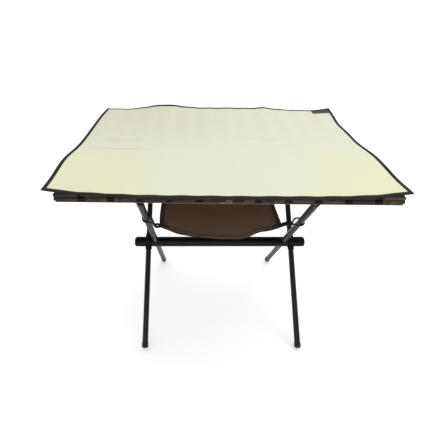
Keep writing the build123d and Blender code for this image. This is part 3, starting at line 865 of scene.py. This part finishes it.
def make_cover():
    """Cloth cover with a pocket round every slat, closed and slightly rounded at both ends."""
    line = cover_lines()
    rows = cover_rows()
    points = [point for y, share in rows for point in cover_ring(line, y, share)]
    over = [place for _, _, _, place in line]
    flat = [(place, y) for y, _ in rows for place in over + over[::-1]]
    size = 2 * len(line)
    faces = []
    for row in range(len(rows) - 1):
        faces += ring_band((row + 1) * size, row * size, size)
    for row in (0, len(rows) - 1):
        first, last = row * size, row * size + size - 1
        for step in range(len(line) - 1):
            quad = (first + step, last - step, last - step - 1, first + step + 1)
            faces.append(quad if row == 0 else quad[::-1])
    cover = mesh_object("camouflage_cover", points, faces, flat)
    dressed(cover, "camouflage_fabric", "tabletop", ["panel_cover"])
    thread = stitches("cover_stitches", cover_stitch_runs(), COVER_STITCH, COVER_STITCH_GAP, COVER_THREAD)
    dressed(thread, "camouflage_fabric", "tabletop", material=BROWN_THREAD)


def sleeve_loop(index, end):
    """Rings of one cloth loop round the rail, under its pocket: a slack round tube with soft rims."""
    steps, sides = 14, 28
    start, finish = pocket_ends(index)
    inside = [(step / steps, SLEEVE_WALL) for step in range(steps + 1)]
    outside = [(share, 0.0) for share, _ in reversed(inside)]
    rings = []
    for share, inset in inside + outside:
        off_middle = 2 * share - 1
        rim = 0.0006 * off_middle ** 6
        ring = []
        for side in range(sides):
            angle = 2 * math.pi * side / sides
            slack = 0.00025 * math.sin(3 * angle + 1.7 * index) * math.cos(2.2 * off_middle + index)
            radius = SLEEVE_RADIUS - SLEEVE_INSET - inset - rim + slack
            y = end * (TOP_DEPTH / 2 - SLEEVE_RADIUS) + radius * math.cos(angle)
            z = PANEL_BOTTOM - SLEEVE_RADIUS + radius * math.sin(angle)
            ring.append(askew((start + (finish - start) * share, y, z)))
        rings.append(ring)
    return rings


def make_sleeve(end):
    """The edge sleeve: a loop under every pocket, and a folded seam tape along their bottoms."""
    rings = [sleeve_loop(index, end) for index in range(SLAT_COUNT)]
    loops = many_lofted(f"sleeve_loops_{ENDS[end]}", rings, closed=True)
    dressed(loops, "camouflage_fabric", "tabletop", [f"rail_sleeve_{ENDS[end]}"])
    seam_y = end * (TOP_DEPTH / 2 - 0.0042)
    half = TOP_WIDTH / 2 - 0.004
    places = [askew((half * share, seam_y, SLEEVE_BOTTOM + 0.0009)) for share in (-1, -0.5, 0, 0.5, 1)]
    tape = swept(f"seam_tape_{ENDS[end]}", places, strap_outline(*SEAM_TAPE_SIZE))
    dressed(tape, "camouflage_fabric", "tabletop", material=SEAM_TAPE)


def make_strap():
    """Roll strap: olive webbing over the front edge, and its wider beige tail folded under."""
    front = -TOP_DEPTH / 2
    hanging = front - 0.0012
    rail_y = front + SLEEVE_RADIUS
    rail_z = PANEL_BOTTOM - SLEEVE_RADIUS
    reach = SLEEVE_RADIUS + 0.0010
    over = [(front + 0.012, PANEL_TOP + 0.0004), (front + 0.002, PANEL_TOP + 0.0006)]
    over += [(hanging, PANEL_TOP - 0.002), (hanging, PANEL_BOTTOM), (hanging, rail_z)]
    over.append((front - 0.0006, rail_z - 0.004))
    turned = [math.radians(angle) for angle in (-158, -136, -114, -92, -70, -48)]
    under = [(rail_y + reach * math.cos(turn), rail_z + reach * math.sin(turn)) for turn in turned]
    olive_x = slat_x(SLAT_COUNT // 2) - SLAT_PITCH / 2
    beige_x = olive_x - 0.005
    olive_places = [askew((olive_x, y, z)) for y, z in over]
    beige_places = [askew((beige_x, y, z)) for y, z in under]
    olive_outline = on_edge(strap_outline(*OLIVE_STRAP_SIZE))
    beige_outline = on_edge(strap_outline(*BEIGE_STRAP_SIZE))
    olive = swept("roll_strap_webbing", olive_places, olive_outline, up=(1, 0, 0))
    beige = swept("roll_strap_tail", beige_places, beige_outline, up=(1, 0, 0))
    dressed(olive, "webbing", "tabletop", ["roll_strap"])
    dressed(beige, "webbing", "tabletop", material=BEIGE_WEBBING)


# ---------------------------------------------------------------- the cloth shelf

END_SAG = 0.040
SIDE_SAG = 0.032
SIDE_BULGE = 0.012
MIDDLE_LIFT = 0.020
# Folds along the front edge, each as (middle, height, width)
FRONT_FOLDS = ((-0.115, -0.003, 0.022), (-0.037, 0.002, 0.030), (0.057, -0.0045, 0.024),
               (0.102, 0.0065, 0.022))
CORNER_FOLD = 0.0022        # height of the tension folds that run in from each corner
SHELF_THICKNESS = 0.0011
TAPE_THICKNESS = 0.0007
HEM_WIDTH = 0.012
HEM_SEAM = 0.010            # in from the shelf's edge
SIDE_TAPE_WIDTH = 0.009
SIDE_TAPE_SEAM = 0.0072
SIDE_TAPE_LIFT = 0.0008     # over the hems' ends
PIPING_RADIUS = 0.0019
PIPING_REACH = 0.0022       # out past the hem
PIPING_DROP = 0.0016        # below the hem
CORNER_STRAP_SIZE = (0.0115, 0.0014)
RING_RADIUS = 0.0052
RING_WIRE = 0.0032
CORD_RADIUS = 0.0026
CORD_THINNING = 0.75    # a cord's thickness where it is stretched most, against its ends
# For the left and the right cords
HANGER_REACH = {-1: 0.262, 1: 0.230}    # up a pole from the beam
HANGER_ARCH = {-1: 0.001, 1: 0.010}
RING_PULL = {-1: (0.0085, 0, -0.0025), 1: (0.0045, 0, 0.0035)}


def shelf_surface(x, y):
    """A slack sheet hung by its corners, with soft tension folds that run in from them."""
    across, along = x / SHELF_HALF, y / SHELF_HALF
    slack_x, slack_y = 1 - across ** 2, 1 - along ** 2
    drop = END_SAG * slack_x + SIDE_SAG * slack_y - MIDDLE_LIFT * slack_x * slack_y
    fold = 0.0
    for side in SIDES:
        for end in ENDS:
            out_x, out_y = 1 - side * across, 1 - end * along
            reach = math.hypot(out_x, out_y) + 0.001
            turn = math.atan2(out_y, out_x)
            fold += CORNER_FOLD * math.sin(9 * turn) * math.exp(-((reach - 0.34) / 0.26) ** 2)
    fold += 0.0010 * math.sin(11 * across + 4 * along) * slack_x * slack_y
    fold *= slack_x * slack_y > 0
    front_folds = waves(x, FRONT_FOLDS) * fading(y + SHELF_HALF, 0.060)
    height = SHELF_CORNER - drop + fold + front_folds
    return Vector((SHELF_SHIFT + x + across * SIDE_BULGE * slack_y, y, height))


def bend_with_legs(piece, slot, nodes_replaced=(), material=None):
    """A piece of the shelf crosses the fold. It gets its finish, hides the CAD nodes it stands for and has
    its place baked into its mesh.
    """
    dressed(piece, slot, None, nodes_replaced, material)
    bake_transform(piece)
    return piece


def side_edge(side):
    """A left or right edge of the shelf, from front to rear."""
    def edge(share, inward):
        return on_sheet(shelf_surface, side * (SHELF_HALF - inward), SHELF_HALF * (2 * share - 1))
    return edge


def end_edge(end):
    """The front or rear edge of the shelf, from left to right."""
    def edge(share, inward):
        return on_sheet(shelf_surface, SHELF_HALF * (2 * share - 1), end * (SHELF_HALF - inward))
    return edge


def thin_middle(share):
    """Size along a piping that is pulled thin in its middle."""
    return 0.45 + 0.55 * abs(2 * share - 1)


def stretched(share):
    """Size along a cord, thinnest round the pole."""
    return CORD_THINNING + (1 - CORD_THINNING) * abs(2 * share - 1)


def shelf_seam_runs(gap):
    """Seams through the hems and the side tapes, seen from above and below."""
    seams = [(end_edge(end), HEM_SEAM) for end in ENDS]
    seams += [(side_edge(side), SIDE_TAPE_SEAM) for side in SIDES]
    lift = gap + SIDE_TAPE_LIFT + TAPE_THICKNESS
    return [edge_run(edge, inward, facing * lift, 48, facing, margin=0.05)
            for edge, inward in seams for facing in (1, -1)]


def make_shelf():
    """The cloth sling with its hems, pipings, side tapes and seams."""
    size = 2 * SHELF_HALF
    cloth = thin_sheet("shelf_sling", shelf_surface, size, size, 72, 72, SHELF_THICKNESS)
    bend_with_legs(cloth, "shelf_fabric", ["shelf_cloth"])
    gap = SHELF_THICKNESS / 2 + 0.0001
    for end, name in ENDS.items():
        edge = end_edge(end)
        hem = edge_tape(f"shelf_hem_{name}", edge, 60, tape_section(HEM_WIDTH, gap, TAPE_THICKNESS))
        # Painted highlight: the hems take the lighter copy of the shelf cloth.
        bend_with_legs(hem, "shelf_binding", material=LIT_SHELF_HEM)
        drop = Vector((0, 0, -PIPING_DROP))
        below = [edge(step / 24, -PIPING_REACH)[0] + drop for step in range(25)]
        piping = swept(f"shelf_piping_{name}", below, round_outline(PIPING_RADIUS), taper=thin_middle)
        bend_with_legs(piping, "shelf_binding")
    for side, name in SIDES.items():
        section = tape_section(SIDE_TAPE_WIDTH, gap + SIDE_TAPE_LIFT, TAPE_THICKNESS)
        tape = edge_tape(f"shelf_tape_{name}", side_edge(side), 60, section)
        replaced = ["shelf_hem"] if side < 0 else []
        bend_with_legs(tape, "shelf_binding", replaced)
    thread = stitches("shelf_stitches", shelf_seam_runs(gap))
    bend_with_legs(thread, "shelf_binding", material=BROWN_THREAD)


def pole_spot(side, end, height):
    """The middle of the pole beside a shelf corner, at a height. Front corners hang on inner poles."""
    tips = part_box("front_tips" if end < 0 else "rear_tips")
    pole_x = side * (tips[1].x - POLE_RADIUS)
    return Vector((pole_x, end * (height - BEAM_HEIGHT) * math.tan(LEG_LEAN), height))


def ring_spot(side, end):
    """The middle of a corner's ring, where its cord pulls it."""
    low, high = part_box("shelf_rings")
    reach_x = (high.x - low.x) / 2 - 0.0073
    middle = Vector((SHELF_SHIFT + side * reach_x, end * (high.y - 0.0013), SHELF_CORNER))
    return middle + Vector(RING_PULL[side])


def corner_strap(side, end):
    """Webbing tab from the shelf's corner, doubled through the ring and sewn back on itself."""
    ring = ring_spot(side, end)
    inner = Vector((SHELF_SHIFT + side * (SHELF_HALF - 0.022), ring.y - end * 0.006, 0))
    inner.z = shelf_surface(inner.x - SHELF_SHIFT, inner.y).z + 0.0026
    edge = Vector((SHELF_SHIFT + side * (SHELF_HALF - 0.001), ring.y, SHELF_CORNER + 0.0006))
    halfway = inner.lerp(edge, 0.5)
    loop = [inner, halfway, edge]
    # Round the ring's wire, as distances out from it and up
    for outwards, up in ((-0.0110, 0.0022), (-0.0060, 0.0030), (-0.0026, 0.0016),
                         (-0.0026, -0.0016), (-0.0060, -0.0030), (-0.0110, -0.0024)):
        loop.append(ring + Vector((side * outwards, 0, up)))
    loop += [edge + Vector((0, 0, -0.0048)), halfway + Vector((0, 0, -0.0062))]
    webbing = on_edge(strap_outline(*CORNER_STRAP_SIZE))
    return swept(f"corner_strap_{corner_name(side, end)}", loop, webbing, up=(0, 1, 0))


def hanger_cord(side, end):
    """Elastic cord from the ring, tight round the pole above it and back. One run of it arches."""
    ring = ring_spot(side, end)
    reach = HANGER_REACH[side]
    grip = pole_spot(side, end, BEAM_HEIGHT + reach * math.cos(LEG_LEAN))
    lean = Vector((0, end * math.sin(LEG_LEAN), math.cos(LEG_LEAN)))
    outwards = Vector((side, 0, 0))
    facing = outwards.cross(lean)
    # A smooth curve touches the inside of its control octagon, so that is drawn wider.
    radius = (POLE_RADIUS + 0.9 * CORD_THINNING * CORD_RADIUS) / math.cos(math.radians(22.5))
    start = ring + outwards * 0.0072
    waist = start.lerp(grip - outwards * radius, 0.45)
    arch = Vector((0, 0, HANGER_ARCH[side]))
    around = []
    for angle in (-112.5, -67.5, -22.5, 22.5, 67.5, 112.5):
        turn = math.radians(angle)
        around.append(grip + (outwards * math.cos(turn) + facing * math.sin(turn)) * radius)
    loop = [start - facing * 0.0016, waist - facing * 0.0030 + arch]
    loop += [around[0] - outwards * 0.0045] + around + [around[-1] - outwards * 0.0045]
    loop += [waist + facing * 0.0030, start + facing * 0.0016]
    name = f"hanger_cord_{corner_name(side, end)}"
    return swept(name, loop, round_outline(CORD_RADIUS, 10), up=(0, 0.3, 1), taper=stretched)


def corner_ring(side, end):
    """Moulded ring, slightly oval and a little thicker where the cord bears on it."""
    centre = ring_spot(side, end)
    rings = []
    for step in range(36):
        turn = 2 * math.pi * step / 36
        radius = RING_RADIUS + 0.0006 * math.cos(2 * turn)
        wire = RING_WIRE + 0.0004 * max(0.0, side * math.cos(turn))
        middle = centre + Vector((radius * math.cos(turn), 0, radius * math.sin(turn)))
        outward = Vector((math.cos(turn), 0, math.sin(turn)))
        rings.append([middle + outward * a + Vector((0, b, 0)) for a, b in round_outline(wire, 10)])
    return lofted(f"corner_ring_{corner_name(side, end)}", rings, closed=True)


def make_hangers():
    """The four corners' straps, rings and cords, each on the frame whose poles hold it."""
    for end, body in ((-1, "inner_frame"), (1, "outer_frame")):
        for side in SIDES:
            made = ((corner_strap(side, end), "shelf_binding", "shelf_tabs"),
                    (corner_ring(side, end), "moulded_black", "shelf_rings"),
                    (hanger_cord(side, end), "elastic_cord", f"{ENDS[end]}_hangers"))
            for piece, slot, cad_node in made:
                dressed(piece, slot, body, [cad_node] if side < 0 else [])


# ---------------------------------------------------------------- camera, floor and light


CAMERA_PLACE = (-0.0715, -0.9890, 0.9876)
CAMERA_DIP = math.radians(23.39)    # below the horizontal
CAMERA_LENS = 30.07                 # mm, on a sensor 36 mm wide
CAMERA_SHIFT = (0.0584, -0.1633)
WHITE = (1.0, 1.0, 1.0, 1.0)


def make_camera():
    lens = bpy.data.cameras.new("camera")
    lens.sensor_width = 36
    lens.lens = CAMERA_LENS
    lens.shift_x, lens.shift_y = CAMERA_SHIFT
    camera = bpy.data.objects.new("camera", lens)
    camera.location = CAMERA_PLACE
    camera.rotation_euler = (math.pi / 2 - CAMERA_DIP, 0, 0)
    bpy.context.scene.collection.objects.link(camera)
    bpy.context.scene.camera = camera


def make_floor():
    """White studio paper, faintly lit from within so that it stays as pale as the backdrop."""
    half = 40.0
    corners = [(-half, -half, 0), (half, -half, 0), (half, half, 0), (-half, half, 0)]
    floor = mesh_object("studio_floor", corners, [(0, 1, 2, 3)])
    finish = Finish("studio_paper", 0.95, specular=0.1)
    grain = finish.noise(finish.place(), 30, detail=3)
    finish.colour(finish.mix(grain, (0.93, 0.93, 0.93, 1), (0.95, 0.95, 0.95, 1)))
    finish.shader.inputs["Emission Color"].default_value = WHITE
    finish.shader.inputs["Emission Strength"].default_value = 0.35
    floor.data.materials.append(finish.material)


def softbox(name, place, target, size, power):
    """A rectangular soft light that looks at a target and isn't seen itself."""
    lamp = bpy.data.lights.new(name, "AREA")
    lamp.shape = "RECTANGLE"
    lamp.size, lamp.size_y = size
    lamp.energy = power
    light = bpy.data.objects.new(name, lamp)
    light.location = place
    light.rotation_euler = (Vector(target) - Vector(place)).to_track_quat("-Z", "Y").to_euler()
    light.visible_camera = False
    bpy.context.scene.collection.objects.link(light)


def make_world():
    """White all round as the camera sees it, and as a light brighter above and behind the table."""
    world = bpy.data.worlds.new("studio")
    world.use_nodes = True
    world.node_tree.nodes.clear()
    studio = Nodes(world.node_tree)
    seen = studio.node("ShaderNodeBackground")
    seen.inputs["Color"].default_value = WHITE
    dome = studio.node("ShaderNodeBackground")
    dome.inputs["Color"].default_value = (0.8, 0.8, 0.8, 1.0)
    _, back, up = studio.axes(studio.node("ShaderNodeTexCoord").outputs["Generated"])
    higher = studio.between(up, 0.0, 0.9, 0.45, 2.2)
    behind = studio.between(back, -0.5, 0.7, 0.32, 1.0)
    studio.link(studio.maths("MULTIPLY", higher, behind), dome.inputs["Strength"])
    chosen = studio.node("ShaderNodeMixShader")
    studio.link(studio.node("ShaderNodeLightPath").outputs["Is Camera Ray"], chosen.inputs["Fac"])
    for background, socket in ((dome, chosen.inputs[1]), (seen, chosen.inputs[2])):
        studio.link(background.outputs["Background"], socket)
    output = studio.node("ShaderNodeOutputWorld")
    studio.link(chosen.outputs["Shader"], output.inputs["Surface"])
    bpy.context.scene.world = world


make_camera()
make_world()
make_floor()
softbox("overhead", (1.1, -0.2, 2.6), (0, 0, 0.4), (2.4, 2.0), 21)
softbox("front_fill", (-0.5, -2.4, 1.0), (0, 0, 0.35), (1.8, 0.9), 12)
bpy.context.scene.view_settings.view_transform = "Standard"

finish_cad_nodes()
make_mat()
make_cover()
make_sleeve(-1)
make_sleeve(1)
make_strap()
make_shelf()
make_hangers()
